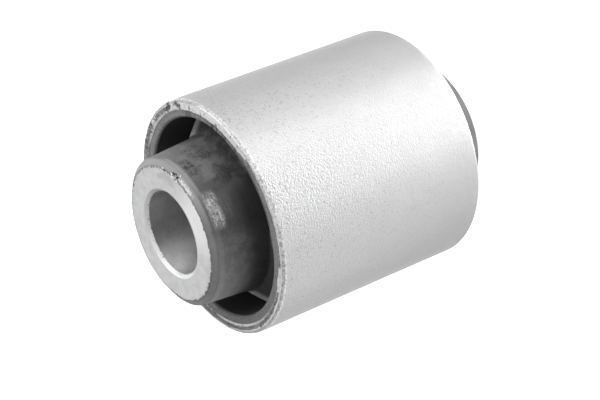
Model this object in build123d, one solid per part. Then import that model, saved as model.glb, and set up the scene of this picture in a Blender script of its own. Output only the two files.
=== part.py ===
from build123d import *
import os
from math import radians, tan

# A rubber metal bush: two steel sleeves, one inside the other, joined by a
# rubber body that is bonded to both. The axis is Z. The bush stands on the
# lower end face of the inner sleeve, and the origin is the centre of that face.

# Driving dimensions, in millimetres and degrees.
OUTER_RADIUS = 20.0          # press-fit surface of the outer sleeve
OUTER_LENGTH = 40.0
OUTER_WALL = 1.6
OUTER_EDGE_ROUND = 0.5       # lead-in round at both ends
OUTER_MOUTH_CHAMFER = 0.25   # broken edge where the rubber starts

BORE_RADIUS = 7.05           # clearance on a 14 mm bolt
INNER_WALL = 4.35
UPPER_PROUD = 7.7            # inner sleeve beyond the outer one, at the upper end
LOWER_PROUD = 7.1            # the same at the lower end
BORE_CHAMFER = 0.55

RUBBER_RECESS = 0.2          # lining's rim below the end of the outer sleeve
LINING_WALL = 1.5            # at the rim
LIP_ROUND = 0.4

SKIN_WALL = 1.82             # rubber skin on the inner sleeve, at the arms
SKIN_SETBACK = 0.08          # keeps the skin behind the sleeve's end faces
SKIN_CHAMFER_DEPTH = 0.75
SKIN_END_ROUND = 0.25
SKIN_DRAFT = 4.8             # degrees, narrowing from the arms to the free ends

ARM_COUNT = 3                # a void goes through between each pair of arms
ARM_WIDTH = 16.8             # between the parallel flanks
ARM_TOP_DEPTH = 2.3          # arm's end face at the skin, below the sleeve's end
ARM_SLOPE = 35.0             # degrees, falling away from the skin to the lining
ARM_EDGE_ROUND = 0.8         # between an arm's end faces and its flanks
ARM_ROOT_SHARE = 0.15        # root rounds, in widths of the void at the middle
ARM_OVERLAP = 0.6            # how far an arm is sunk into the skin and the lining
VOID_DRAFT = 0.8             # degrees a side, narrowing to the middle
VOID_FACING = -90.0          # degrees, centre of the first void

# Worked out from the dimensions above.
HALF_OUTER = OUTER_LENGTH / 2
MIDDLE = LOWER_PROUD + HALF_OUTER
BOND_RADIUS = OUTER_RADIUS - OUTER_WALL
SLEEVE_RADIUS = BORE_RADIUS + INNER_WALL
LIP_RADIUS = BOND_RADIUS - LINING_WALL
LIP_HEIGHT = HALF_OUTER - RUBBER_RECESS
SKIN_RADIUS = SLEEVE_RADIUS + SKIN_WALL
ARM_TOP = HALF_OUTER - ARM_TOP_DEPTH


def skin_radius(height):
    """Outside of the rubber skin at a height from the middle plane."""
    past_arms = max(height - ARM_TOP, 0)
    within_arms = max(ARM_TOP - height, 0)
    taper = past_arms * tan(radians(SKIN_DRAFT))
    return SKIN_RADIUS - taper + within_arms * tan(radians(VOID_DRAFT))


def lining_radius(height):
    """Inside of the rubber lining at a height from the middle plane."""
    return LIP_RADIUS - (LIP_HEIGHT - height) * tan(radians(VOID_DRAFT))


def corner(face, radius, height):
    """The face's vertex nearest to a point of the half section."""
    return face.vertices().sort_by_distance(Vector(radius, 0, height))[0]


def turned(upper, lower):
    """Solid of revolution of two half sections, the second one turned over."""
    whole = upper + mirror(lower, Plane.XY)
    return revolve(whole, Axis.Z).moved(Location((0, 0, MIDDLE)))


def outer_sleeve():
    """Plain steel tube with rounded outer edges and broken inner edges."""
    wall = make_face(
        Polyline(
            (BOND_RADIUS, 0, 0),
            (BOND_RADIUS, 0, HALF_OUTER),
            (OUTER_RADIUS, 0, HALF_OUTER),
            (OUTER_RADIUS, 0, 0),
            close=True,
        )
    )
    wall = fillet(corner(wall, OUTER_RADIUS, HALF_OUTER), OUTER_EDGE_ROUND)
    wall = chamfer(corner(wall, BOND_RADIUS, HALF_OUTER), OUTER_MOUTH_CHAMFER)
    return turned(wall, wall)


def inner_half(proud):
    """Half section of the inner sleeve, with its end proud of the outer one."""
    end = HALF_OUTER + proud
    wall = make_face(
        Polyline(
            (BORE_RADIUS, 0, 0),
            (BORE_RADIUS, 0, end),
            (SLEEVE_RADIUS, 0, end),
            (SLEEVE_RADIUS, 0, 0),
            close=True,
        )
    )
    return chamfer(corner(wall, BORE_RADIUS, end), BORE_CHAMFER)


def inner_sleeve():
    """Thick steel tube, faced at both ends, with a chamfered bore."""
    return turned(inner_half(UPPER_PROUD), inner_half(LOWER_PROUD))


def skin_half(proud):
    """Half section of the rubber skin, up to the inner sleeve's end."""
    end = HALF_OUTER + proud - SKIN_SETBACK
    shoulder = end - SKIN_CHAMFER_DEPTH
    skin = make_face(
        Polyline(
            (SLEEVE_RADIUS, 0, 0),
            (SLEEVE_RADIUS, 0, end),
            (skin_radius(shoulder), 0, shoulder),
            (SKIN_RADIUS, 0, ARM_TOP),
            (skin_radius(0), 0, 0),
            close=True,
        )
    )
    return fillet(corner(skin, skin_radius(shoulder), shoulder), SKIN_END_ROUND)


def lining():
    """The wall that is bonded to the outer sleeve."""
    half = make_face(
        Polyline(
            (lining_radius(0), 0, 0),
            (LIP_RADIUS, 0, LIP_HEIGHT),
            (BOND_RADIUS, 0, LIP_HEIGHT),
            (BOND_RADIUS, 0, 0),
            close=True,
        )
    )
    half = fillet(corner(half, LIP_RADIUS, LIP_HEIGHT), LIP_ROUND)
    return turned(half, half)


def arm():
    """One arm across the gap: a slab cut from a ring, with round edges."""
    inside = skin_radius(0) - ARM_OVERLAP
    outside = lining_radius(0) + ARM_OVERLAP
    fall = tan(radians(ARM_SLOPE))
    inner_top = ARM_TOP + (SKIN_RADIUS - inside) * fall
    outer_top = ARM_TOP - (outside - SKIN_RADIUS) * fall
    section = make_face(
        Polyline(
            (inside, 0, -inner_top),
            (inside, 0, inner_top),
            (outside, 0, outer_top),
            (outside, 0, -outer_top),
            close=True,
        )
    )
    slab = Box(
        OUTER_RADIUS,
        ARM_WIDTH,
        OUTER_LENGTH,
        align=(Align.MIN, Align.CENTER, Align.CENTER),
    )
    block = revolve(section, Axis.Z) & slab
    block = fillet(block.edges().filter_by(GeomType.HYPERBOLA), ARM_EDGE_ROUND)
    block = block.rotate(Axis.Z, VOID_FACING + 180 / ARM_COUNT)
    return block.moved(Location((0, 0, MIDDLE)))


def rubber_body():
    """One moulding: lining, arms between the voids, and skin on the sleeve."""
    skin = turned(skin_half(UPPER_PROUD), skin_half(LOWER_PROUD))
    walls = [skin, lining()]
    arms = [arm().rotate(Axis.Z, turn * 360 / ARM_COUNT) for turn in range(ARM_COUNT)]
    body = walls[0] + walls[1:] + arms
    roots = new_edges(*walls, *arms, combined=body)
    void_width = lining_radius(0) - skin_radius(0)
    return fillet(roots, ARM_ROOT_SHARE * void_width)


os.makedirs("parts", exist_ok=True)
export_step(outer_sleeve(), "parts/outer_sleeve.step")
export_step(rubber_body(), "parts/rubber_body.step")
export_step(inner_sleeve(), "parts/inner_sleeve.step")
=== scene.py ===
from math import atan2, cos, degrees, exp, hypot, pi, radians, sin, tau

import bmesh
import bpy
from mathutils import Matrix, Vector, noise


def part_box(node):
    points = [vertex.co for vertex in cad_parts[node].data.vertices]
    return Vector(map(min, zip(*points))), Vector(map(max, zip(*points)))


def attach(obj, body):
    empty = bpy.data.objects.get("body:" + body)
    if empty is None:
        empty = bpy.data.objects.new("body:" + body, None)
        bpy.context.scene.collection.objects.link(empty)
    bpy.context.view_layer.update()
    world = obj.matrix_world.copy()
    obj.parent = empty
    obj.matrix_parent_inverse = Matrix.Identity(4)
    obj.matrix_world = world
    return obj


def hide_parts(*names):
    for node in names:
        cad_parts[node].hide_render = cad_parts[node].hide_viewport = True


# A rubber metal bush, standing on the lower end of its inner sleeve. The CAD
# solids give its main sizes; this script gives it its worn and worked surfaces.
# Lengths are millimetres and angles degrees, unless a comment says otherwise.
# An azimuth is measured round the axis from +X.
MM = 0.001
NEAR = 0.01              # a point within this of a place counts as being there

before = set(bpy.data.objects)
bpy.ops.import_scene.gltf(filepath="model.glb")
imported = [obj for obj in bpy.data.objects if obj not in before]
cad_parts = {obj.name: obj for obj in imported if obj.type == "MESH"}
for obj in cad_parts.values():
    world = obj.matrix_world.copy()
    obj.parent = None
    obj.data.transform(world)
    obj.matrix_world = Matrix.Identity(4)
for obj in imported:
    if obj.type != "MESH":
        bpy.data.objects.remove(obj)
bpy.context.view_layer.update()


def span(node):
    """Radius, lower end and upper end of a CAD node, in millimetres."""
    low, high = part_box(node)
    return high.x / MM, low.z / MM, high.z / MM


OUTER_RADIUS, OUTER_LOW, OUTER_TOP = span("outer_sleeve")
SLEEVE_RADIUS, SLEEVE_LOW, SLEEVE_TOP = span("inner_sleeve")
BOND_RADIUS = span("rubber_body")[0]
BORE_RADIUS = 7.05       # of the inner sleeve, whose box doesn't give it
MIDDLE = (SLEEVE_LOW + SLEEVE_TOP) / 2
VOID_FACING = -90        # azimuth of the middle of one void
ARM_COUNT = 3
HALF_PITCH = 180 / ARM_COUNT  # from the middle of a void to the middle of an arm
FINE_END = 3             # length of the finer faces at each end of a tube

# The outer sleeve.
OUTER_STEPS = 720        # faces round the axis
LEAD_IN = 0.5            # rounded outer edge
LEAD_IN_FACES = 6        # across it
MOUTH_CHAMFER = 0.25     # broken inner edge
STRAIGHT_FROM = 0.6      # depth from which the inner wall is straight
GRIT_DEPTH = 0.075       # blasted pits, deeper than real so that they show
WALL_WAVES = 0.012       # waviness of the blasted wall
RIM_CUTS = 9             # rings added across an end face
MOUTH_CUTS = 2           # across a mouth's chamfer
END_CUTS = 9             # along the wall at each end
WALL_CUTS = 23           # and between the ends

# Its rims.
RIM_DEPTH = 0.9          # how far down the wear reaches
RIM_WEAR = 0.035         # waviness of the sheared end faces
RIM_BURR = 0.17          # height of the thin burr along the lead-in
OVERHANG = 0.28          # of the burr that is turned in over the rubber
FILM = 0.04              # thickness of the rubber smeared over the rim
RUBBED_MOST = 0.9        # the layer "bare" goes up to this where steel is rubbed
BURR_MOST = 1.3          # and to this along a burr
BURR_GLINT_FROM = 1.2        # from which a burr is painted near white, as a highlight

# The inner sleeve.
INNER_STEPS = 540
BORE_CHAMFER = 0.55
FACE_DEPTH = 0.3         # how far below the chamfer the wear reaches
EDGE_BAND = 0.8          # width of the worn band along the outer edge
EDGE_DROP = 0.09         # how far the outer edge is worn down
EDGE_RAG = 0.18          # how far the rubber creeps in over the face
EDGE_TEETH = 0.45        # depth of the teeth that it was torn in
FACE_DROP = 0.03         # the turned face below the tips of its burrs
FACE_WAVES = 0.002       # waviness of the turned face
CHAMFER_WAVES = 0.01     # waviness of the bore's chamfer
BORE_RAG = 0.06          # unevenness of the chamfer's inner edge
EDGE_CUTS = 9            # rings added across the worn band
FACE_CUTS = 5            # across the rest of an end face
BORE_MOUTH_CUTS = 3      # across the bore's chamfer
BORE_END_CUTS = 11       # along the bore at each end
BORE_CUTS = 15           # and between the ends

# The scraps on its edge.
SCRAP_SHAPE = 0.6, 1.2, 0.35  # drawn out and flattened
SCRAP_TURN = 37          # from each scrap to the next
SCRAP_RAG = 0.5          # unevenness, as a share of its size
SCRAP_CLEAR = 0.002      # its top below the sleeve's end
SKIN_FALL = 0.71         # slope of the rubber's chamfer, away from the sleeve

# Wear on the upper rim, each as stops of azimuth and value.
UPPER_RIM = {
    # 0 is clean steel and 1 is covered with rubber.
    "film": (
        (-180, 0.85), (-158, 0.8), (-141, 0.8), (-136, 0.2), (-128, 0.2), (-123, 0.9), (-72, 0.95),
        (-67, 0.0), (-12, 0.0), (-8, 0.4), (-1, 0.4), (6, 0.8), (12, 0.75), (18, 0.5), (24, 0.5),
        (30, 0.85), (60, 0.8), (180, 0.85),
    ),
    # Radius of the film's outer edge.
    "reach": (
        (-180, 19.2), (-150, 19.1), (-140, 19.05), (-66, 19.0), (-58, 19.2), (-10, 19.35),
        (14, 19.4), (26, 19.9), (44, 20.1), (56, 19.5), (140, 19.4), (180, 19.2),
    ),
    # How bare the mouth's edge is rubbed.
    "bare": (
        (-180, 0.8), (-158, 0.5), (-145, 0.4), (-136, 0.7), (-128, 0.7), (-118, 0.2), (-72, 0.2),
        (-66, 0.8), (-12, 0.6), (-4, 0.3), (8, 0.7), (30, 0.8), (38, 0.4), (60, 0.3), (145, 0.4),
        (152, 0.8), (180, 0.9),
    ),
    # How bright the lead-in is rubbed.
    "polish": (
        (-180, 0.9), (-68, 0.9), (-60, 0.35), (-24, 0.35), (-14, 0.6), (-4, 0.8), (14, 0.6),
        (26, 0.0), (56, 0.0), (70, 0.7), (180, 0.9),
    ),
    # The burr along the lead-in, as a share of its height.
    "burr": (
        (-180, 0.5), (-110, 0.5), (-84, 0.8), (-68, 0.8), (-62, 1.0), (-32, 1.0), (-24, 0.5),
        (-8, 0.2), (2, 0.0), (172, 0.0), (180, 0.5),
    ),
    # The burr turned in at the mouth, as a share of its overhang.
    "turned": (
        (-180, 0.7), (-140, 0.4), (-132, 0.7), (-124, 0.2), (-70, 0.2), (-64, 1.0), (-24, 1.0),
        (-14, 0.8), (4, 0.6), (24, 0.6), (50, 0.4), (150, 0.4), (180, 0.7),
    ),
}
# The same on the lower rim.
LOWER_RIM = {
    "film": (
        (-180, 0.3), (-110, 0.75), (-50, 0.2), (-20, 0.0), (40, 0.0), (70, 0.8), (140, 0.65),
        (180, 0.3),
    ),
    "reach": ((-180, 19.3), (-60, 19.1), (60, 19.5), (180, 19.3)),
    "bare": ((-180, 0.2), (-90, 0.8), (-30, 0.1), (60, 0.7), (120, 0.2), (180, 0.2)),
    "polish": ((-180, 0.2), (180, 0.2)),
    "burr": ((-180, 0.0), (-30, 0.0), (-24, 0.9), (48, 0.8), (54, 0.0), (180, 0.0)),
    "turned": ((-180, 0.0), (-60, 0.5), (0, 0.8), (60, 0.3), (180, 0.0)),
}

# Nicks: azimuth, radius, size and depth.
UPPER_NICKS = (
    (-55, 18.95, 0.22, 0.12), (-61, 18.95, 0.20, 0.12), (-43, 18.35, 0.25, 0.15),
    (-20, 18.70, 0.22, 0.12), (-10.5, 18.75, 0.44, 0.22), (-8, 19.10, 0.58, 0.28),
    (0, 19.20, 0.62, 0.28), (2.5, 18.80, 0.42, 0.20), (-30, 18.35, 0.24, 0.12),
    (25, 19.15, 0.44, 0.18), (28, 18.80, 0.30, 0.12), (33, 19.55, 0.36, 0.14),
    (37, 19.20, 0.38, 0.14), (41, 18.95, 0.28, 0.12), (158, 19.50, 0.25, 0.15),
    (-171, 19.30, 0.24, 0.14),
)
LOWER_NICKS = (
    (-95, 19.0, 0.3, 0.2), (20, 19.4, 0.25, 0.18), (24, 18.8, 0.2, 0.12), (118, 19.1, 0.3, 0.2),
    (171, 18.7, 0.2, 0.15),
)
FACE_NICKS = (
    (-158, 11.35, 0.16, 0.12), (-146, 11.35, 0.16, 0.12), (-133, 11.35, 0.18, 0.14),
    (-122, 11.35, 0.15, 0.12), (-115, 11.35, 0.16, 0.12), (-88, 11.35, 0.16, 0.12),
    (-47, 11.35, 0.30, 0.26), (-42, 11.45, 0.28, 0.26), (-36, 11.30, 0.22, 0.22),
    (-31, 11.25, 0.26, 0.24), (62, 11.35, 0.20, 0.14), (150, 11.30, 0.20, 0.12),
)
UNDER_NICKS = (
    (-140, 11.25, 0.24, 0.18), (-60, 11.3, 0.2, 0.14), (15, 11.2, 0.26, 0.2),
    (24, 11.3, 0.2, 0.16), (100, 11.3, 0.22, 0.14),
)

# Scraps along the inner sleeve's upper edge: azimuth, radius and size.
TORN_FLASH = (
    (-30.5, 11.30, 0.26), (-33.0, 11.42, 0.16), (-36.0, 11.38, 0.20), (-39.0, 11.50, 0.22),
    (-42.5, 11.70, 0.36), (-44.5, 11.90, 0.24), (-47.0, 11.62, 0.36), (-50.0, 11.40, 0.20),
    (-53.0, 11.38, 0.15), (-56.0, 11.40, 0.15), (-59.0, 11.42, 0.14), (-62.0, 11.44, 0.15),
    (-66.0, 11.46, 0.13), (-88.0, 11.42, 0.14), (-99.0, 12.30, 0.20),
)
RAISED_BURR = (
    (-28.0, 11.50, 0.20), (-31.5, 11.10, 0.18), (-34.5, 10.95, 0.28), (-37.0, 11.18, 0.20),
    (-40.5, 11.48, 0.28), (-43.0, 11.30, 0.20), (-45.5, 11.42, 0.20), (-49.0, 12.05, 0.28),
    (-53.0, 11.75, 0.22), (-58.0, 11.70, 0.18),
)

# Sectors of azimuth: from, to and soft edge.
STAINED = -52, -36, 5     # more dirt in the outer sleeve's pores
SHALLOW = -76, -50, 7     # its blast is lighter
PAINTED_LIGHT_SIDE = -115, -62, 20     # painted light: the inner sleeve's faces are whiter on the camera side
LIP_EDGE_SHADE = -104, -60, 6  # painted shade on the lining's lip, along its inner edge
SHADED = -165, -84, 14    # the skin's chamfer is rubbed less

# Marks: such a sector, and from, to and soft edge of a radius.
SMUDGE = (-46, -17, 3), (9.5, 10.75, 0.1)
STEEL_SMEAR = (-68, -50, 4), (11.45, 12.0, 0.15)
# Marks: such a sector, and the same of a depth below the inner sleeve's end.
HANDLED = (-72, -10, 12), (3.6, 11.0, 1.2)
MOTTLED = (-59, -37, 4), (1.8, 3.6, 0.4)
SCUFFED = (-96, -72, 5), (1.3, 3.3, 0.5)
TRAIL = (-92, -76, 5), (3.4, 5.4, 0.7)
RUBBED_BESIDE = (-72, -24, 8), (0.85, 1.5, 0.25)
RUBBED_OPPOSITE = (-175, -92, 8), (0.85, 1.9, 0.3)

# The rubber passes from one finish to another over these radii.
SKIN_STARTS = {"From Min": 13.7, "From Max": 13.2}
WALL_STARTS = {"From Min": 15.8, "From Max": 16.4}
LIP_STARTS = {"From Min": 16.0, "From Max": 16.6}
LIP_EDGE = {"From Min": 17.75, "From Max": 17.45, "To Max": 0.7}
TORN_EDGE = {"From Min": 11.9, "From Max": 11.75, "To Max": 0.25}
# And over these depths below the outer sleeve's ends.
FACE_SHOWS = {"From Min": 0.9, "From Max": 0.45}
# Painted shade darkens the skin down in the gap over these depths.
PAINTED_GAP_SHADE = {"From Min": -2.6, "From Max": 1.5, "To Max": 0.75}
# An arm's rounded edge, painted paler as a highlight: from, to and soft edge of the
# distance from the arm's middle plane, and of the depth below the outer sleeve's end.
ARM_EDGE_HIGHLIGHT = (6.3, 8.6, 0.9), (1.2, 7.0, 0.8)
STROKE = 14              # degrees that strokes round the axis are drawn out over


# Meshes

def spun(outline, steps):
    """A closed half section, given as radius and height, spun round the axis."""
    shape = bmesh.new()
    points = [shape.verts.new((radius * MM, 0, height * MM)) for radius, height in outline]
    sides = [shape.edges.new(pair) for pair in zip(points, points[1:] + points[:1])]
    bmesh.ops.spin(
        shape,
        geom=points + sides,
        cent=(0, 0, 0),
        axis=(0, 0, 1),
        angle=tau,
        steps=steps,
        use_merge=True,
    )
    bmesh.ops.recalc_face_normals(shape, faces=shape.faces)
    return shape


def circle_edges(shape, radius, height):
    """The edges that run round the axis at a radius and height."""
    found = []
    for edge in shape.edges:
        ends = [vert.co / MM for vert in edge.verts]
        if all(abs(hypot(p.x, p.y) - radius) < NEAR and abs(p.z - height) < NEAR for p in ends):
            found.append(edge)
    return found


def soften(shape, radius, height, size, segments):
    """Bevels the circular edge at a radius and height."""
    bmesh.ops.bevel(
        shape,
        geom=circle_edges(shape, radius, height),
        offset=size * MM,
        segments=segments,
        profile=0.5,
        affect="EDGES",
        material=-1,
    )


def cross_edges(shape, inner, outer, low, high):
    """The edges that lie in planes through the axis, within a band."""
    found = []
    for edge in shape.edges:
        a, b = (vert.co / MM for vert in edge.verts)
        ra, rb = hypot(a.x, a.y), hypot(b.x, b.y)
        along = abs(ra - rb) + abs(a.z - b.z)
        inside = inner - NEAR <= min(ra, rb) and max(ra, rb) <= outer + NEAR
        level = low - NEAR <= min(a.z, b.z) and max(a.z, b.z) <= high + NEAR
        if inside and level and along > 2 * NEAR:
            found.append(edge)
    return found


def divide(shape, cuts, **band):
    """Adds rings across the edges of a band."""
    edges = cross_edges(shape, **band)
    bmesh.ops.subdivide_edges(shape, edges=edges, cuts=cuts, use_grid_fill=True)


def wavy(point, size, seed):
    """Smooth noise from -1 to 1 with waves of a size; a seed shifts it."""
    return noise.noise(point / size + Vector((seed, seed, seed)))


def smooth(value, low, high):
    """Goes smoothly from 0 at low to 1 at high."""
    t = min(max((value - low) / (high - low), 0), 1)
    return t * t * (3 - 2 * t)


def hump(value, middle, width):
    """A bell curve: 1 at the middle, falling off over a width."""
    return exp(-(((value - middle) / width) ** 2))


def wrapped(azimuth):
    """The same azimuth between -180 and 180."""
    return (azimuth + 180) % 360 - 180


def round_axis(stops, azimuth):
    """Value at an azimuth between stops of azimuth and value."""
    azimuth = wrapped(azimuth)
    for (start, first), (end, last) in zip(stops, stops[1:]):
        if start <= azimuth <= end:
            return first + (last - first) * (azimuth - start) / (end - start)
    return stops[-1][1]


def nicked(nicks, azimuth, radius, rough):
    """Depth of the nicks at a point of an end face, and how deep in one it is, 0..1."""
    depth, share = 0.0, 0.0
    for place, ring, size, deepest in nicks:
        turn = radians(wrapped(azimuth - place))
        apart = hypot(turn * ring, radius - ring) / (size * (1 + 1.1 * rough))
        if apart < 2:
            inside = exp(-(apart**4))
            depth = max(depth, deepest * inside)
            share = max(share, inside)
    return depth, share


# The layers of wear and painted light that the meshes carry and the materials
# read: rubber film, bare steel with a painted highlight along a burr, and dirt
# with painted shade in nicks and cuts.
WEAR_AND_PAINTED_LIGHT = ("film", "bare", "dirt_and_shade")


def wear_and_light_layers(shape):
    """Adds the layers of wear and painted light to a mesh."""
    return [shape.verts.layers.float.new(name) for name in WEAR_AND_PAINTED_LIGHT]


def finished(shape, name, node, materials, sharp=32):
    """Turns a bmesh into a piece, which stands for a CAD node if one is given."""
    for face in shape.faces:
        face.smooth = True
    for edge in shape.edges:
        if len(edge.link_faces) == 2 and edge.calc_face_angle(0) > radians(sharp):
            edge.smooth = False
    mesh = bpy.data.meshes.new(name)
    shape.to_mesh(mesh)
    shape.free()
    piece = bpy.data.objects.new(name, mesh)
    bpy.context.collection.objects.link(piece)
    for material in materials:
        mesh.materials.append(material)
    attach(piece, "root")
    if node:
        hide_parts(node)
    return piece


# Materials

def linear(text):
    """An sRGB hex colour as linear RGBA."""
    parts = [int(text[i : i + 2], 16) / 255 for i in (1, 3, 5)]
    light = [p / 12.92 if p <= 0.04045 else ((p + 0.055) / 1.055) ** 2.4 for p in parts]
    return (*light, 1.0)


def connect(tree, node, links):
    """Gives each input a value, or the node or socket that feeds it."""
    for name, value in links.items():
        if isinstance(value, bpy.types.Node):
            value = next(socket for socket in value.outputs if socket.enabled)
        if isinstance(value, bpy.types.NodeSocket):
            tree.links.new(value, node.inputs[name])
        else:
            node.inputs[name].default_value = value


def add(tree, kind, links=None, **settings):
    """Adds a node with its settings and links."""
    made = tree.nodes.new("ShaderNode" + kind)
    for name, value in settings.items():
        setattr(made, name, value)
    connect(tree, made, links or {})
    return made


# Settings that many nodes share, and the inputs of a node that mixes colours.
# A coat is a share and a colour, and coats are laid over a tone in their order.
SMOOTH = {"interpolation_type": "SMOOTHSTEP"}
COLOUR = {"data_type": "RGBA"}
TIMES = {"operation": "MULTIPLY"}
PLUS = {"operation": "ADD"}
LESS = {"operation": "SUBTRACT"}
MOST = {"operation": "MAXIMUM"}
SHARE, FIRST, SECOND = 0, 6, 7
RING_PITCH = 0.314       # between the rings of a wave texture of scale 1


def per_wave(size):
    """Scale of a noise whose waves have a size in millimetres."""
    return 1 / (size * MM)


def material(name):
    """A new material, its tree, its Principled shader and the piece's coordinates."""
    made = bpy.data.materials.new(name)
    made.use_nodes = True
    tree = made.node_tree
    shader = tree.nodes["Principled BSDF"]
    place = add(tree, "TexCoord").outputs["Object"]
    return made, tree, shader, place


def band(tree, value, low, high, soft):
    """Pattern: 1 between low and high, 0 outside, over a soft edge."""
    rise = {"From Min": low - soft, "From Max": low + soft}
    fall = {"From Min": high + soft, "From Max": high - soft}
    up, down = (add(tree, "MapRange", {"Value": value, **ends}, **SMOOTH) for ends in (rise, fall))
    return add(tree, "Math", {0: up, 1: down}, **TIMES)


def mark(tree, azimuth, value, limits):
    """Pattern: 1 within a sector of azimuth and a reach of a value, 0 outside."""
    sector, reach = limits
    return add(tree, "Math", {0: band(tree, azimuth, *sector), 1: band(tree, value, *reach)}, **TIMES)


def polar(tree, place):
    """Azimuth in degrees from +X, radius and height in millimetres."""
    axes = add(tree, "SeparateXYZ", {"Vector": place})
    angle = add(tree, "Math", {0: axes.outputs["Y"], 1: axes.outputs["X"]}, operation="ARCTAN2")
    flat = add(tree, "CombineXYZ", {"X": axes.outputs["X"], "Y": axes.outputs["Y"]})
    length = add(tree, "VectorMath", {0: flat}, operation="LENGTH").outputs["Value"]
    return (
        add(tree, "Math", {0: angle, 1: 180 / pi}, **TIMES),
        add(tree, "Math", {0: length, 1: 1 / MM}, **TIMES),
        add(tree, "Math", {0: axes.outputs["Z"], 1: 1 / MM}, **TIMES),
    )


def grit_blasted_steel():
    """Steel tube, grit blasted and phosphated: matt pale grey with a fine sparkling grain."""
    made, tree, shader, place = material("grit-blasted phosphated steel")
    azimuth, _, height = polar(tree, place)
    film, bare, dirt_and_shade = (add(tree, "Attribute", attribute_name=name).outputs["Fac"] for name in WEAR_AND_PAINTED_LIGHT)
    grit = add(tree, "TexNoise", {"Vector": place, "Scale": per_wave(0.26), "Detail": 0.6, "Roughness": 0.5})
    cloud = add(tree, "TexNoise", {"Vector": place, "Scale": per_wave(4.5), "Detail": 3.0})
    pores = add(tree, "TexNoise", {"Vector": place, "Scale": per_wave(0.45), "Detail": 3.0, "Roughness": 0.7})
    upwards = {"Value": height, "From Min": OUTER_LOW, "From Max": OUTER_TOP}
    rise = add(tree, "MapRange", upwards)
    tone = add(tree, "Mix", {SHARE: rise, FIRST: linear("#8a8a8a"), SECOND: linear("#909090")}, **COLOUR)
    patchy = add(tree, "MapRange", {"Value": cloud, "From Min": 0.35, "From Max": 0.65}, **SMOOTH)
    faint = add(tree, "Math", {0: patchy, 1: 0.06}, **TIMES)
    # Dirt stays in the pores, most of it towards the upper end.
    dirty = add(tree, "MapRange", {**upwards, "To Min": 0.10, "To Max": 0.50})
    stained = add(tree, "MapRange", {"Value": band(tree, azimuth, *STAINED), "To Min": 1.0, "To Max": 1.4})
    dirty = add(tree, "Math", {0: dirty, 1: stained}, **TIMES)
    specks = add(tree, "MapRange", {"Value": pores, "From Min": 0.52, "From Max": 0.72}, **SMOOTH)
    specks = add(tree, "Math", {0: specks, 1: dirty}, **TIMES)
    # The lead-in is rubbed bright and scatters the light, and its burr is painted near white as a highlight.
    chips = add(tree, "MapRange", {"Value": pores, "From Min": 0.60, "From Max": 0.46}, **SMOOTH)
    rubbed = add(tree, "Mix", {SHARE: chips, FIRST: linear("#a0a0a0"), SECOND: linear("#dedede")}, **COLOUR)
    burr = add(tree, "MapRange", {"Value": bare, "From Min": RUBBED_MOST, "From Max": BURR_GLINT_FROM}, **SMOOTH)
    coats = (
        (faint, linear("#a8a8a8")),
        (specks, linear("#5a5a5a")),
        (bare, rubbed),
        (burr, linear("#f8f8f8")),
        (film, linear("#787878")),
        # Dirt and painted shade in the nicks.
        (dirt_and_shade, linear("#404040")),
    )
    for share, coat in coats:
        tone = add(tree, "Mix", {SHARE: share, FIRST: tone, SECOND: coat}, **COLOUR)
    worn = add(tree, "Math", {0: bare, 1: film}, **MOST)
    metal = add(tree, "MapRange", {"Value": worn, "To Min": 0.85, "To Max": 0.2})
    # The blast bites deepest at the upper end, and less beside the stain.
    bite = add(tree, "MapRange", {**upwards, "To Min": 0.2, "To Max": 0.85})
    shallow = add(tree, "MapRange", {"Value": band(tree, azimuth, *SHALLOW), "To Min": 1.0, "To Max": 0.72})
    bite = add(tree, "Math", {0: bite, 1: shallow}, **TIMES)
    dents = add(tree, "Bump", {"Height": grit, "Strength": bite, "Distance": GRIT_DEPTH * MM})
    connect(tree, shader, {"Base Color": tone, "Metallic": metal, "Roughness": 0.46, "Normal": dents})
    return made


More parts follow.
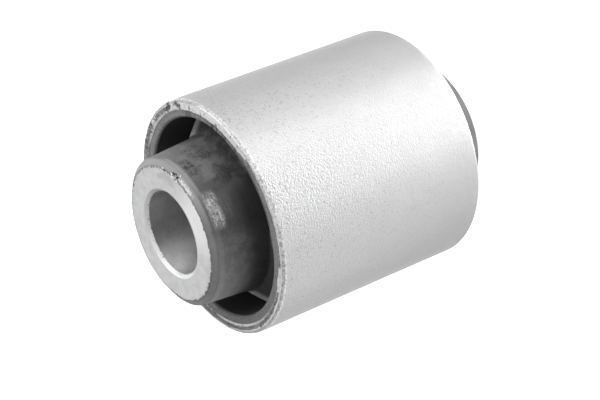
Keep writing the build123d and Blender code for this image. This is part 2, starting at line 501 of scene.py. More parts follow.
def sheared_steel():
    """Cut end of the tube: torn grain, smeared with a film of rubber that is rubbed through."""
    made, tree, shader, place = material("sheared steel smeared with rubber")
    film, bare, dirt_and_shade = (add(tree, "Attribute", attribute_name=name).outputs["Fac"] for name in WEAR_AND_PAINTED_LIGHT)
    grain = add(tree, "TexNoise", {"Vector": place, "Scale": per_wave(0.35), "Detail": 3.0})
    streak = add(tree, "TexNoise", {"Vector": place, "Scale": per_wave(0.9), "Detail": 2.0})
    covered = add(tree, "Math", {0: film, 1: bare}, **LESS)
    rough = add(tree, "Math", {0: grain, 1: 0.6}, **TIMES)
    covered = add(tree, "Math", {0: covered, 1: rough}, **PLUS)
    covered = add(tree, "MapRange", {"Value": covered, "From Min": 0.45, "From Max": 0.95}, **SMOOTH)
    shine = add(tree, "MapRange", {"Value": grain, "From Min": 0.35, "From Max": 0.65}, **SMOOTH)
    steel = add(tree, "Mix", {SHARE: shine, FIRST: linear("#e0e0e0"), SECOND: linear("#f4f4f4")}, **COLOUR)
    pitted = {"From Min": 0.42, "From Max": 0.30, "To Max": 0.6}
    specks = add(tree, "MapRange", {"Value": grain, **pitted}, **SMOOTH)
    steel = add(tree, "Mix", {SHARE: specks, FIRST: steel, SECOND: linear("#8c8c8c")}, **COLOUR)
    uneven = add(tree, "MapRange", {"Value": grain, "From Min": 0.36, "From Max": 0.64}, **SMOOTH)
    smear = add(tree, "Mix", {SHARE: uneven, FIRST: linear("#606060"), SECOND: linear("#9c9c9c")}, **COLOUR)
    dull = add(tree, "MapRange", {"Value": streak, "From Min": 0.55, "From Max": 0.40}, **SMOOTH)
    dull = add(tree, "Math", {0: dull, 1: 0.5}, **TIMES)
    smear = add(tree, "Mix", {SHARE: dull, FIRST: smear, SECOND: linear("#585858")}, **COLOUR)
    # The burr is painted near white, as a highlight.
    burr = add(tree, "MapRange", {"Value": bare, "From Min": RUBBED_MOST, "From Max": BURR_GLINT_FROM}, **SMOOTH)
    tone = steel
    # The nicks get dirt and painted shade.
    for share, coat in ((covered, smear), (burr, linear("#fcfcfc")), (dirt_and_shade, linear("#404040"))):
        tone = add(tree, "Mix", {SHARE: share, FIRST: tone, SECOND: coat}, **COLOUR)
    metal = add(tree, "MapRange", {"Value": covered, "To Min": 0.45, "To Max": 0.0})
    gloss = add(tree, "MapRange", {"Value": covered, "To Min": 0.42, "To Max": 0.62})
    dents = add(tree, "Bump", {"Height": grain, "Strength": 0.5, "Distance": 0.08 * MM})
    connect(tree, shader, {"Base Color": tone, "Metallic": metal, "Roughness": gloss, "Normal": dents})
    return made


def faced_steel():
    """Tube end faced in a lathe: pale and even, with faint rings and a rubber film at the edge."""
    made, tree, shader, place = material("faced steel")
    azimuth, radius, _ = polar(tree, place)
    film, bare, dirt_and_shade = (add(tree, "Attribute", attribute_name=name).outputs["Fac"] for name in WEAR_AND_PAINTED_LIGHT)
    cloud = add(tree, "TexNoise", {"Vector": place, "Scale": per_wave(1.6), "Detail": 3.0})
    grain = add(tree, "TexNoise", {"Vector": place, "Scale": per_wave(0.30), "Detail": 3.0})
    patchy = add(tree, "MapRange", {"Value": cloud, "From Min": 0.3, "From Max": 0.7}, **SMOOTH)
    tone = add(tree, "Mix", {SHARE: patchy, FIRST: linear("#dedede"), SECOND: linear("#eaeaea")}, **COLOUR)
    pits = add(tree, "MapRange", {"Value": grain, "From Min": 0.34, "From Max": 0.24}, **SMOOTH)
    # A smudge with a wandering outline, inside the torn edge.
    shift = add(tree, "Math", {0: cloud, 1: 0.5}, **LESS)
    wander = add(tree, "Math", {0: shift, 1: 3.0}, **TIMES)
    ring = add(tree, "Math", {0: radius, 1: wander}, **PLUS)
    smudge = add(tree, "Math", {0: mark(tree, azimuth, ring, SMUDGE), 1: 0.35}, **TIMES)
    # The film is darkest along its torn inner edge.
    torn = add(tree, "MapRange", {"Value": film, "From Min": 1.0, "From Max": 0.6}, **SMOOTH)
    rubber = add(tree, "Mix", {SHARE: torn, FIRST: linear("#767676"), SECOND: linear("#5c5c5c")}, **COLOUR)
    cover = add(tree, "MapRange", {"Value": film, "From Min": 0.1, "From Max": 0.45}, **SMOOTH)
    coats = (
        # Painted light: the faces are whitened on the side towards the camera.
        (band(tree, azimuth, *PAINTED_LIGHT_SIDE), linear("#ffffff")),
        (pits, linear("#bcbcbc")),
        (smudge, linear("#b4b4b4")),
        (bare, linear("#dedede")),
        (cover, rubber),
        # Dirt and painted shade in the nicks.
        (dirt_and_shade, linear("#2c2c2c")),
    )
    for share, coat in coats:
        tone = add(tree, "Mix", {SHARE: share, FIRST: tone, SECOND: coat}, **COLOUR)
    # The bore's chamfer scatters the light, and rubber doesn't shine as steel does.
    matt = add(tree, "Math", {0: bare, 1: 0.65}, **TIMES)
    matt = add(tree, "Math", {0: matt, 1: cover}, **MOST)
    metal = add(tree, "MapRange", {"Value": matt, "To Min": 0.9, "To Max": 0.0})
    # The tool's marks run round the axis, coarser than real so that they show.
    scale = RING_PITCH * per_wave(0.4)
    turned = {"Vector": place, "Scale": scale, "Distortion": 0.6, "Detail": 1.0}
    rings = add(tree, "TexWave", turned, wave_type="RINGS", rings_direction="Z")
    faint = add(tree, "Math", {0: rings.outputs["Fac"], 1: 0.25}, **TIMES)
    relief = add(tree, "Math", {0: faint, 1: grain}, **PLUS)
    dents = add(tree, "Bump", {"Height": relief, "Strength": 0.35, "Distance": 0.03 * MM})
    connect(tree, shader, {"Base Color": tone, "Metallic": metal, "Roughness": 0.48, "Normal": dents})
    return made


def bored_steel():
    """Reamed bore: satin grey, with its gloss drawn out along the axis by fine tool rings."""
    made, tree, shader, place = material("reamed steel")
    dirt_and_shade = add(tree, "Attribute", attribute_name="dirt_and_shade").outputs["Fac"]
    cloud = add(tree, "TexNoise", {"Vector": place, "Scale": per_wave(1.8), "Detail": 3.0})
    grain = add(tree, "TexNoise", {"Vector": place, "Scale": per_wave(0.30), "Detail": 3.0})
    patchy = add(tree, "MapRange", {"Value": cloud, "From Min": 0.3, "From Max": 0.7}, **SMOOTH)
    tone = add(tree, "Mix", {SHARE: patchy, FIRST: linear("#b4b4b4"), SECOND: linear("#c2c2c2")}, **COLOUR)
    pits = add(tree, "MapRange", {"Value": grain, "From Min": 0.40, "From Max": 0.22}, **SMOOTH)
    # Dirt and painted shade where the chamfer's inner edge is cut unevenly.
    for share, coat in ((pits, linear("#8c8c8c")), (dirt_and_shade, linear("#303030"))):
        tone = add(tree, "Mix", {SHARE: share, FIRST: tone, SECOND: coat}, **COLOUR)
    dents = add(tree, "Bump", {"Height": grain, "Strength": 0.3, "Distance": 0.03 * MM})
    around = add(tree, "Tangent", direction_type="RADIAL", axis="Z")
    connect(tree, shader, {"Base Color": tone, "Metallic": 0.9, "Roughness": 0.58, "Normal": dents})
    connect(tree, shader, {"Anisotropic": 0.75, "Anisotropic Rotation": 0.25, "Tangent": around})
    return made


def bloomed(tree, azimuth, radius, face, blotch):
    """Colour of the rubber where it shows: bloomed, most on the lip."""
    patchy = add(tree, "MapRange", {"Value": blotch, "From Min": 0.35, "From Max": 0.65}, **SMOOTH)
    bloom = add(tree, "Mix", {SHARE: patchy, FIRST: linear("#484848"), SECOND: linear("#5a5a5a")}, **COLOUR)
    outward = add(tree, "MapRange", {"Value": radius, **LIP_STARTS}, **SMOOTH)
    lip = add(tree, "Math", {0: face, 1: outward}, **TIMES)
    # On one side the lip is painted dark along its inner edge, as painted shade.
    inmost = add(tree, "MapRange", {"Value": radius, **LIP_EDGE}, **SMOOTH)
    edge_shade = add(tree, "Math", {0: band(tree, azimuth, *LIP_EDGE_SHADE), 1: inmost}, **TIMES)
    for share, coat in ((lip, "#828282"), (edge_shade, "#2c2c2c")):
        bloom = add(tree, "Mix", {SHARE: share, FIRST: bloom, SECOND: linear(coat)}, **COLOUR)
    return bloom


def arm_edge_highlight(tree, azimuth, radius, sunk):
    """Pattern: 1 along the arms' rounded edges, where a highlight is painted, with the azimuth folded onto
    half an arm.
    """
    across_arm, down_arm = ARM_EDGE_HIGHLIGHT
    turned = add(tree, "Math", {0: azimuth, 1: VOID_FACING}, **LESS)
    fold = add(tree, "Math", {0: turned, 1: HALF_PITCH}, operation="PINGPONG")
    turn = add(tree, "Math", {0: HALF_PITCH, 1: fold}, **LESS)
    turn = add(tree, "Math", {0: turn, 1: pi / 180}, **TIMES)
    turn = add(tree, "Math", {0: turn}, operation="SINE")
    across = add(tree, "Math", {0: radius, 1: turn}, **TIMES)
    return add(tree, "Math", {0: band(tree, across, *across_arm), 1: band(tree, sunk, *down_arm)}, **TIMES)


def handling(tree, azimuth, below, blotch, cloud, fleck, ticks):
    """Coats: a dark fleck all over, and more marks where the skin is handled."""
    handled = mark(tree, azimuth, below, HANDLED)
    often = add(tree, "Math", {0: handled, 1: 0.25}, **TIMES)
    often = add(tree, "Math", {0: often, 1: 0.30}, **PLUS)
    spots = add(tree, "MapRange", {"Value": fleck, "From Min": 0.46, "From Max": 0.62}, **SMOOTH)
    spots = add(tree, "Math", {0: spots, 1: often}, **TIMES)
    # Dark ticks and pale clouds.
    dark = {"From Min": 0.48, "From Max": 0.56, "To Max": 0.75}
    ticked = add(tree, "MapRange", {"Value": ticks, **dark}, **SMOOTH)
    ticked = add(tree, "Math", {0: ticked, 1: handled}, **TIMES)
    pale = {"From Min": 0.45, "From Max": 0.65, "To Max": 0.4}
    light = add(tree, "MapRange", {"Value": cloud, **pale}, **SMOOTH)
    light = add(tree, "Math", {0: light, 1: handled}, **TIMES)
    # A darker mottle from there to the chamfer, broken up by the ticks.
    blots = add(tree, "MapRange", {"Value": blotch, "From Min": 0.38, "From Max": 0.48}, **SMOOTH)
    mottle = add(tree, "Math", {0: mark(tree, azimuth, below, MOTTLED), 1: blots}, **TIMES)
    breaks = {"From Min": 0.44, "From Max": 0.54, "To Min": 0.15}
    breaks = add(tree, "MapRange", {"Value": ticks, **breaks}, **SMOOTH)
    mottle = add(tree, "Math", {0: mottle, 1: breaks}, **TIMES)
    return [(spots, "#242424"), (ticked, "#202020"), (light, "#747474"), (mottle, "#0c0c0c")]


def scuffing(tree, azimuth, below, fleck, strokes):
    """Coats: a scuff rubbed pale, in strokes, with a faint trail."""
    trail = add(tree, "Math", {0: mark(tree, azimuth, below, TRAIL), 1: 0.12}, **TIMES)
    scuff = add(tree, "Math", {0: mark(tree, azimuth, below, SCUFFED), 1: trail}, **PLUS)
    streaky = {"From Min": 0.38, "From Max": 0.60, "To Min": 0.35}
    streaky = add(tree, "MapRange", {"Value": strokes, **streaky}, **SMOOTH)
    scuff = add(tree, "Math", {0: scuff, 1: streaky}, **TIMES)
    grainy = {"From Min": 0.40, "From Max": 0.56, "To Min": 0.4}
    grainy = add(tree, "MapRange", {"Value": fleck, **grainy}, **SMOOTH)
    scuff = add(tree, "Math", {0: scuff, 1: grainy}, **TIMES)
    return [(scuff, "#b0b0b0")]


def end_wear(tree, azimuth, radius, below, blotch, fleck):
    """Coats: the skin's chamfer rubbed pale, and the torn edge along the steel."""
    edge = add(tree, "MapRange", {"Value": below, "From Min": 1.0, "From Max": 0.6}, **SMOOTH)
    shaded = add(tree, "MapRange", {"Value": band(tree, azimuth, *SHADED), "To Min": 0.85, "To Max": 0.5})
    edge = add(tree, "Math", {0: edge, 1: shaded}, **TIMES)
    beside = add(tree, "Math", {0: mark(tree, azimuth, below, RUBBED_BESIDE), 1: 0.4}, **TIMES)
    opposite = add(tree, "Math", {0: mark(tree, azimuth, below, RUBBED_OPPOSITE), 1: 0.2}, **TIMES)
    # Steel is smeared over it beyond the torn edge, and it is torn dark against the steel.
    patches = {"From Min": 0.40, "From Max": 0.56, "To Min": 0.2, "To Max": 0.9}
    patches = add(tree, "MapRange", {"Value": fleck, **patches}, **SMOOTH)
    smeared = add(tree, "Math", {0: mark(tree, azimuth, radius, STEEL_SMEAR), 1: patches}, **TIMES)
    wander = add(tree, "Math", {0: blotch, 1: 0.6}, **TIMES)
    torn = add(tree, "Math", {0: radius, 1: wander}, **PLUS)
    torn = add(tree, "MapRange", {"Value": torn, **TORN_EDGE}, **SMOOTH)
    return [
        (edge, "#8e8e8e"),
        (beside, "#9a9a9a"),
        (opposite, "#808080"),
        (smeared, "#d0d0d0"),
        (torn, "#303030"),
    ]


def moulded_rubber():
    """Natural rubber, moulded black and bloomed to grey where it shows: dull and mottled."""
    made, tree, shader, place = material("moulded natural rubber")
    azimuth, radius, height = polar(tree, place)
    below = add(tree, "Math", {0: SLEEVE_TOP, 1: height}, **LESS)
    blotch = add(tree, "TexNoise", {"Vector": place, "Scale": per_wave(1.4), "Detail": 4.0})
    cloud = add(tree, "TexNoise", {"Vector": place, "Scale": per_wave(3.5), "Detail": 2.0})
    fleck = add(tree, "TexNoise", {"Vector": place, "Scale": per_wave(0.32), "Detail": 2.0})
    # Strokes that run round the axis, coarse and fine.
    stroke = add(tree, "Math", {0: azimuth, 1: 1 / STROKE}, **TIMES)
    drawn = add(tree, "CombineXYZ", {"X": stroke, "Y": below})
    strokes = add(tree, "TexNoise", {"Vector": drawn, "Scale": 2.2, "Detail": 3.0, "Roughness": 0.6})
    ticks = add(tree, "TexNoise", {"Vector": drawn, "Scale": 3.6, "Detail": 2.0, "Roughness": 0.6})

    # How far a point is sunk below the outer sleeve's nearer end.
    offset = add(tree, "Math", {0: height, 1: (OUTER_LOW + OUTER_TOP) / 2}, **LESS)
    depth = add(tree, "Math", {0: offset}, operation="ABSOLUTE")
    sunk = add(tree, "Math", {0: (OUTER_TOP - OUTER_LOW) / 2, 1: depth}, **LESS)
    face = add(tree, "MapRange", {"Value": sunk, **FACE_SHOWS}, **SMOOTH)
    skin = add(tree, "MapRange", {"Value": radius, **SKIN_STARTS}, **SMOOTH)
    shown = add(tree, "Math", {0: face, 1: skin}, **MOST)
    # Down in the voids it is darker: black rubber, with painted shade on the arms'
    # end faces; and the arms' rounded edges are painted paler, as a highlight.
    walls = add(tree, "MapRange", {"Value": radius, **WALL_STARTS}, **SMOOTH)
    deep = add(tree, "Mix", {SHARE: walls, FIRST: linear("#404040"), SECOND: linear("#4a4a4a")}, **COLOUR)
    off_skin = add(tree, "Math", {0: 1.0, 1: skin}, **LESS)
    ridge = add(tree, "Math", {0: arm_edge_highlight(tree, azimuth, radius, sunk), 1: off_skin}, **TIMES)
    # Down in the gap the skin keeps its black, and is darkened more with depth as painted shade.
    gap_shade = add(tree, "MapRange", {"Value": sunk, **PAINTED_GAP_SHADE}, **SMOOTH)
    inward = add(tree, "Math", {0: skin, 1: gap_shade}, **TIMES)

    bloom = bloomed(tree, azimuth, radius, face, blotch)
    tone = add(tree, "Mix", {SHARE: shown, FIRST: deep, SECOND: bloom}, **COLOUR)
    # Coats: a painted highlight on the arms' edges, and painted shade down in the gap.
    coats = [(ridge, "#9c9c9c"), (inward, "#262626")]
    coats += handling(tree, azimuth, below, blotch, cloud, fleck, ticks)
    coats += scuffing(tree, azimuth, below, fleck, strokes)
    coats += end_wear(tree, azimuth, radius, below, blotch, fleck)
    for share, coat in coats:
        tone = add(tree, "Mix", {SHARE: share, FIRST: tone, SECOND: linear(coat)}, **COLOUR)

    # It is satin where it shows, and dull in the voids and down in the gap.
    satin = {"From Min": 0.3, "From Max": 0.7, "To Min": 0.52, "To Max": 0.66}
    gloss = add(tree, "MapRange", {"Value": blotch, **satin})
    dull = add(tree, "MapRange", {"Value": shown, "To Min": 0.95, "To Max": 0.0})
    shade = add(tree, "Math", {0: gap_shade, 1: 1.25}, **TIMES)
    for least in (dull, shade):
        gloss = add(tree, "Math", {0: gloss, 1: least}, **MOST)
    half_blotch = add(tree, "Math", {0: blotch, 1: 0.6}, **TIMES)
    relief = add(tree, "Math", {0: half_blotch, 1: fleck}, **PLUS)
    dents = add(tree, "Bump", {"Height": relief, "Strength": 0.4, "Distance": 0.05 * MM})
    connect(tree, shader, {"Base Color": tone, "Roughness": gloss, "Normal": dents})
    return made


def torn_rubber():
    """Torn rubber flash: dark and ragged, with pale broken edges."""
    made, tree, shader, place = material("torn rubber flash")
    grain = add(tree, "TexNoise", {"Vector": place, "Scale": per_wave(0.25), "Detail": 3.0})
    broken = add(tree, "MapRange", {"Value": grain, "From Min": 0.5, "From Max": 0.65}, **SMOOTH)
    tone = add(tree, "Mix", {SHARE: broken, FIRST: linear("#1e1e1e"), SECOND: linear("#5a5a5a")}, **COLOUR)
    dents = add(tree, "Bump", {"Height": grain, "Strength": 0.5, "Distance": 0.05 * MM})
    connect(tree, shader, {"Base Color": tone, "Roughness": 0.6, "Normal": dents})
    return made


def raised_steel():
    """Burr turned over at the face's edge: bright, broken steel."""
    made, tree, shader, place = material("raised steel burr")
    grain = add(tree, "TexNoise", {"Vector": place, "Scale": per_wave(0.25), "Detail": 2.0})
    dents = add(tree, "Bump", {"Height": grain, "Strength": 0.4, "Distance": 0.04 * MM})
    finish = {"Base Color": linear("#e6e6e6"), "Metallic": 0.3, "Roughness": 0.4}
    connect(tree, shader, {**finish, "Normal": dents})
    return made


# Pieces

def wear_rim(shape, layers, end, facing, rim, nicks):
    """Wears one end of the outer sleeve, with painted shade in its nicks and a painted highlight along its
    burr; facing is 1 at the upper end and -1 at the lower.
    """
    film, bare, dirt_and_shade = layers
    mouth = BOND_RADIUS + MOUTH_CHAMFER
    edge = OUTER_RADIUS - LEAD_IN
    for vert in shape.verts:
        point = vert.co / MM
        radius = hypot(point.x, point.y)
        below = (end - point.z) * facing
        on_wall = radius < BOND_RADIUS + 0.05 and below > MOUTH_CHAMFER + NEAR
        if below > RIM_DEPTH or on_wall:
            continue
        azimuth = degrees(atan2(point.y, point.x))
        # The wear changes raggedly round the rim, in patches and fine spots.
        ragged = azimuth + 3 * wavy(point, 1.4, 2) + 2 * wavy(point, 0.45, 5)
        patch = 0.6 * wavy(point, 0.8, 7) + 0.4 * wavy(point, 0.3, 9)
        fine = wavy(point, 0.22, 10)
        at = {name: round_axis(stops, ragged) for name, stops in rim.items()}

        polished = smooth(radius, edge - 0.25, edge - 0.1) * (1 - smooth(below, 0.35, 0.55))
        polished *= at["polish"] * (0.95 + 0.4 * patch + 0.5 * fine)
        covered = smooth(1.6 * at["film"] - 0.3 + 0.9 * patch, 0.2, 0.8)
        reach = at["reach"] + 0.14 * patch + 0.2 * fine
        covered *= 1 - smooth(radius, reach - 0.06, reach + 0.08)
        rubbed = at["bare"] * (1 - smooth(radius + 0.12 * patch, mouth - 0.07, mouth + 0.07))
        ridge = at["burr"] * hump(radius, edge, 0.10)
        # The burr's painted highlight, carried in the bare layer.
        burr_glint = at["burr"] * hump(radius, edge + 0.06, 0.15)
        drop, hurt = nicked(nicks, azimuth, radius, 0.6 * patch + 0.6 * fine)

        # The chamfer is filled up where the burr is turned in.
        inward = 1 - smooth(radius, BOND_RADIUS, mouth)
        turned = max(at["turned"] * (0.95 + 0.5 * patch), 0)
        lift = min(turned, 1) * min(below, MOUTH_CHAMFER) * smooth(mouth - radius, -NEAR, NEAR)
        lift += RIM_WEAR * (wavy(point, 0.9, 11) - 1) + FILM * covered * (0.5 + patch)
        lift += RIM_BURR * ridge * (0.9 + 0.4 * wavy(point, 0.5, 13))
        lift -= drop * (1 - smooth(below, 0.1, 0.6))
        vert.co.z += facing * lift * MM
        vert.co.xy *= 1 - OVERHANG * inward * turned / radius
        vert[film] = covered
        vert[bare] = max(min(max(rubbed, polished, 0), RUBBED_MOST), BURR_MOST * burr_glint)
        # The nicks get dirt and painted shade.
        vert[dirt_and_shade] = 0.85 * smooth(hurt, 0.05, 0.85)


def outer_sleeve():
    """Tube with rounded lead-in edges and broken mouth edges, sheared and worn at both ends."""
    shape = spun(
        [
            (BOND_RADIUS, OUTER_LOW),
            (OUTER_RADIUS, OUTER_LOW),
            (OUTER_RADIUS, OUTER_LOW + FINE_END),
            (OUTER_RADIUS, OUTER_TOP - FINE_END),
            (OUTER_RADIUS, OUTER_TOP),
            (BOND_RADIUS, OUTER_TOP),
            (BOND_RADIUS, OUTER_TOP - STRAIGHT_FROM),
            (BOND_RADIUS, OUTER_LOW + STRAIGHT_FROM),
        ],
        OUTER_STEPS,
    )
    edge = OUTER_RADIUS - LEAD_IN
    mouth = BOND_RADIUS + MOUTH_CHAMFER
    for height in (OUTER_LOW, OUTER_TOP):
        soften(shape, OUTER_RADIUS, height, LEAD_IN, LEAD_IN_FACES)
        soften(shape, BOND_RADIUS, height, MOUTH_CHAMFER, 1)
        divide(shape, RIM_CUTS, inner=mouth, outer=edge, low=height, high=height)
        level = dict(low=height - MOUTH_CHAMFER, high=height + MOUTH_CHAMFER)
        divide(shape, MOUTH_CUTS, inner=BOND_RADIUS, outer=mouth, **level)
    side = dict(inner=OUTER_RADIUS, outer=OUTER_RADIUS)
    divide(shape, END_CUTS, low=OUTER_TOP - FINE_END, high=OUTER_TOP, **side)
    divide(shape, END_CUTS, low=OUTER_LOW, high=OUTER_LOW + FINE_END, **side)
    divide(shape, WALL_CUTS, low=OUTER_LOW + FINE_END, high=OUTER_TOP - FINE_END, **side)
    layers = wear_and_light_layers(shape)
    for face in shape.faces:
        # The sheared finish ends just inside the lead-in.
        middle = face.calc_center_median() / MM
        reach = hypot(middle.x, middle.y)
        face.material_index = 1 if BOND_RADIUS + NEAR < reach < edge + 0.03 else 0
    wear_rim(shape, layers, OUTER_TOP, 1, UPPER_RIM, UPPER_NICKS)
    wear_rim(shape, layers, OUTER_LOW, -1, LOWER_RIM, LOWER_NICKS)
    for vert in shape.verts:
        point = vert.co / MM
        reach = hypot(point.x, point.y)
        if reach > edge:
            shrink = WALL_WAVES * (1 + wavy(point, 7.0, 21)) + WALL_WAVES * (1 + wavy(point, 0.7, 23))
            vert.co.xy *= 1 - shrink / reach
    finishes = [grit_blasted_steel(), sheared_steel()]
    return finished(shape, "outer_sleeve_shell", "outer_sleeve", finishes)


def wear_face(shape, layers, end, facing, nicks):
    """Wears one end face of the inner sleeve, and its edge, where rubber creeps over it; its nicks get dirt
    and painted shade.
    """
    film, bare, dirt_and_shade = layers
    chamfered = BORE_RADIUS + BORE_CHAMFER
    for vert in shape.verts:
        point = vert.co / MM
        radius = hypot(point.x, point.y)
        below = (end - point.z) * facing
        if below > BORE_CHAMFER + FACE_DEPTH:
            continue
        azimuth = degrees(atan2(point.y, point.x))
        rag = 0.5 * wavy(point, 1.3, 31) + 0.5 * wavy(point, 0.35, 33)
        tooth = max(wavy(point, 0.38, 39), 0)
        drop, hurt = nicked(nicks, azimuth, radius, rag)
        edge = SLEEVE_RADIUS - EDGE_RAG * (0.3 + 1.3 * rag) - EDGE_TEETH * tooth - 0.4 * drop
        inner = 1 - smooth(radius, chamfered, chamfered + 0.05)
        worn = EDGE_DROP * smooth(radius, edge - 0.15, SLEEVE_RADIUS) * (0.8 + 0.5 * rag)
        worn += CHAMFER_WAVES * inner * (1 + wavy(point, 0.5, 35))
        worn += FACE_WAVES * (1 + wavy(point, 3.0, 37)) + FACE_DROP
        vert.co.z -= facing * (worn + drop) * MM
        vert[film] = smooth(radius, edge - 0.06, edge + 0.06)
        vert[bare] = inner
        # The nicks get dirt and painted shade.
        vert[dirt_and_shade] = 0.9 * smooth(hurt, 0.05, 0.65)


def inner_sleeve():
    """Thick tube, faced at both ends and broken at the bore's mouths."""
    worn_from = SLEEVE_RADIUS - EDGE_BAND
    shape = spun(
        [
            (BORE_RADIUS, SLEEVE_LOW),
            (worn_from, SLEEVE_LOW),
            (SLEEVE_RADIUS, SLEEVE_LOW),
            (SLEEVE_RADIUS, SLEEVE_TOP),
            (worn_from, SLEEVE_TOP),
            (BORE_RADIUS, SLEEVE_TOP),
            (BORE_RADIUS, SLEEVE_TOP - FINE_END),
            (BORE_RADIUS, SLEEVE_LOW + FINE_END),
        ],
        INNER_STEPS,
    )
    chamfered = BORE_RADIUS + BORE_CHAMFER
    for height in (SLEEVE_LOW, SLEEVE_TOP):
        soften(shape, BORE_RADIUS, height, BORE_CHAMFER, 1)
        divide(shape, EDGE_CUTS, inner=worn_from, outer=SLEEVE_RADIUS, low=height, high=height)
        divide(shape, FACE_CUTS, inner=chamfered, outer=worn_from, low=height, high=height)
        level = dict(low=height - BORE_CHAMFER, high=height + BORE_CHAMFER)
        divide(shape, BORE_MOUTH_CUTS, inner=BORE_RADIUS, outer=chamfered, **level)
    wall = dict(inner=BORE_RADIUS, outer=BORE_RADIUS)
    divide(shape, BORE_END_CUTS, low=SLEEVE_TOP - FINE_END, high=SLEEVE_TOP, **wall)
    divide(shape, BORE_END_CUTS, low=SLEEVE_LOW, high=SLEEVE_LOW + FINE_END, **wall)
    divide(shape, BORE_CUTS, low=SLEEVE_LOW + FINE_END, high=SLEEVE_TOP - FINE_END, **wall)
    layers = wear_and_light_layers(shape)
    for face in shape.faces:
        middle = face.calc_center_median() / MM
        inside = min(middle.z - SLEEVE_LOW, SLEEVE_TOP - middle.z) > BORE_CHAMFER
        face.material_index = 1 if inside and hypot(middle.x, middle.y) < chamfered else 0
    wear_face(shape, layers, SLEEVE_TOP, 1, FACE_NICKS)
    wear_face(shape, layers, SLEEVE_LOW, -1, UNDER_NICKS)
    dirt_and_shade = layers[-1]
    for vert in shape.verts:
        # The chamfer's inner edge is cut unevenly.
        point = vert.co / MM
        reach = hypot(point.x, point.y)
        deep = min(point.z - SLEEVE_LOW, SLEEVE_TOP - point.z)
        if abs(reach - BORE_RADIUS) < 0.3 and deep < 1.2:
            near = hump(deep, BORE_CHAMFER, 0.15)
            cut = max(wavy(point, 0.24, 41), 0)
            vert.co.xy *= 1 + BORE_RAG * near * cut / reach
            # The uneven cut gets dirt and painted shade.
            vert[dirt_and_shade] = 0.7 * smooth(near * cut, 0.15, 0.35)
    finishes = [faced_steel(), bored_steel()]
    return finished(shape, "inner_sleeve_tube", "inner_sleeve", finishes)


def scraps(name, paint, places):
    """Small scraps on the inner sleeve's upper edge, each with its azimuth, radius and size."""
    shape = bmesh.new()
    for index, (azimuth, radius, size) in enumerate(places):
        made = bmesh.ops.create_icosphere(shape, subdivisions=2, radius=size * MM)["verts"]
        bmesh.ops.scale(shape, vec=SCRAP_SHAPE, verts=made)
        spin = Matrix.Rotation(radians(azimuth + SCRAP_TURN * index), 3, "Z")
        bmesh.ops.rotate(shape, cent=(0, 0, 0), matrix=spin, verts=made)
        for vert in made:
            point = vert.co / MM
            vert.co *= 1 + SCRAP_RAG * wavy(point, 0.12, 50 + index)
        # It lies on the face, or on the rubber's chamfer, and stays below the sleeve's end.
        highest = max(vert.co.z for vert in made) / MM
        height = SLEEVE_TOP - SCRAP_CLEAR - highest - SKIN_FALL * max(radius - SLEEVE_RADIUS, 0)
        a = radians(azimuth)
        to = Vector((radius * cos(a), radius * sin(a), height)) * MM
        bmesh.ops.translate(shape, vec=to, verts=made)
    return finished(shape, name, None, [paint], sharp=60)


outer_sleeve()
inner_sleeve()
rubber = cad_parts["rubber_body"]
rubber.data.materials.clear()
rubber.data.materials.append(moulded_rubber())
scraps("torn_flash", torn_rubber(), TORN_FLASH)
scraps("raised_burr", raised_steel(), RAISED_BURR)


# Floor, lights and camera

AIM = Vector((0, 0, MIDDLE * MM))
BOX_SIZE = 0.4           # metres
BOX_AWAY = 0.7           # metres from the bush
TABLE_HALF = 3           # metres
TABLE_GLOW = 0.98
ROOM_LIGHT = 0.2

# Softboxes: name, azimuth from -Y towards +X, elevation and watts.
SOFTBOXES = (
    ("under_front", 0, -60, 5.9),
    ("under_side", 45, -60, 4.3),
    ("low_side", 45, -15, 1.4),
    ("low_right", 90, -35, 0.5),
    ("low_left", 330, -35, 0.6),
    ("low_far_left", 300, -35, 0.7),
    ("high_side", 45, 30, 1.75),
    ("high_right", 90, 30, 2.85),
    ("high_left", 270, 30, 0.4),
    ("left", 270, -15, 0.9),
    ("far_left", 252, 5, 0.4),
    ("far_right", 144, 5, 0.9),
    ("far", 180, 30, 0.35),
    ("top", 0, 90, 1.35),
)

CAMERA_PLACE = Vector((7.92, -271.4, SLEEVE_TOP + 135.16)) * MM
CAMERA_AZIMUTH = 2.234     # from -Y towards +X
CAMERA_ELEVATION = 30.459
CAMERA_ROLL = 111.834      # lays the bush on its side in the view
CAMERA_LENS = 114.36
CAMERA_SENSOR = 36


def towards(azimuth, elevation):
    """Unit vector from the bush: azimuth 0 is -Y and 90 is +X."""
    a, e = radians(azimuth), radians(elevation)
    return Vector((sin(a) * cos(e), -cos(a) * cos(e), sin(e)))


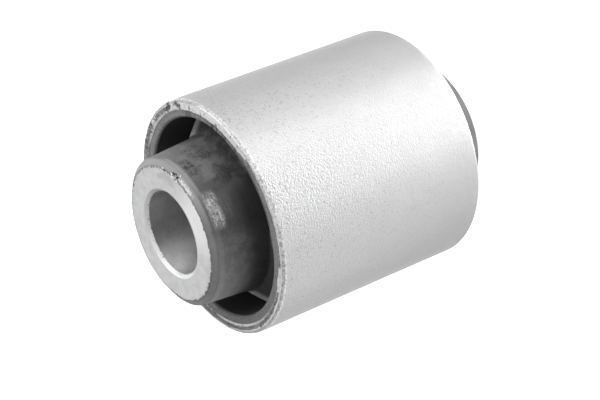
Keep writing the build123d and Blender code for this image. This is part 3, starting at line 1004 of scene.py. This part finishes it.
def softbox(name, azimuth, elevation, watts):
    """A square softbox, aimed at the bush."""
    lamp = bpy.data.lights.new(name, "AREA")
    lamp.shape = "SQUARE"
    lamp.size = BOX_SIZE
    lamp.energy = watts
    lamp.cycles.use_multiple_importance_sampling = False
    made = bpy.data.objects.new(name, lamp)
    back = towards(azimuth, elevation)
    made.location = AIM + back * BOX_AWAY
    made.rotation_mode = "QUATERNION"
    made.rotation_quaternion = back.to_track_quat("Z", "Y")
    bpy.context.collection.objects.link(made)


def floor():
    """Pale light table: it glows, and the low softboxes shine through it."""
    shape = bmesh.new()
    bmesh.ops.create_grid(shape, x_segments=1, y_segments=1, size=TABLE_HALF)
    mesh = bpy.data.meshes.new("table")
    shape.to_mesh(mesh)
    shape.free()
    made = bpy.data.objects.new("table", mesh)
    bpy.context.collection.objects.link(made)
    made.visible_shadow = False
    paint, tree, shader, _ = material("opal light table")
    glow = {"Emission Color": (1, 1, 1, 1), "Emission Strength": TABLE_GLOW}
    connect(tree, shader, {"Base Color": linear("#a0a0a0"), "Roughness": 0.9, **glow})
    mesh.materials.append(paint)


def studio():
    """White room and softboxes."""
    world = bpy.data.worlds.new("white room")
    world.use_nodes = True
    sky = world.node_tree.nodes["Background"]
    sky.inputs["Color"].default_value = (1, 1, 1, 1)
    sky.inputs["Strength"].default_value = ROOM_LIGHT
    bpy.context.scene.world = world
    for box in SOFTBOXES:
        softbox(*box)
    bpy.context.scene.view_settings.view_transform = "Standard"


def camera():
    """Looks down on the upper end, turned so that the axis runs across the view."""
    lens = bpy.data.cameras.new("camera")
    lens.sensor_width = CAMERA_SENSOR
    lens.lens = CAMERA_LENS
    lens.clip_start, lens.clip_end = 0.01, 20
    made = bpy.data.objects.new("camera", lens)
    made.location = CAMERA_PLACE
    back = towards(CAMERA_AZIMUTH, CAMERA_ELEVATION)
    roll = Matrix.Rotation(radians(-CAMERA_ROLL), 3, back)
    made.rotation_mode = "QUATERNION"
    made.rotation_quaternion = (roll @ back.to_track_quat("Z", "Y").to_matrix()).to_quaternion()
    bpy.context.collection.objects.link(made)
    bpy.context.scene.camera = made


floor()
studio()
camera()
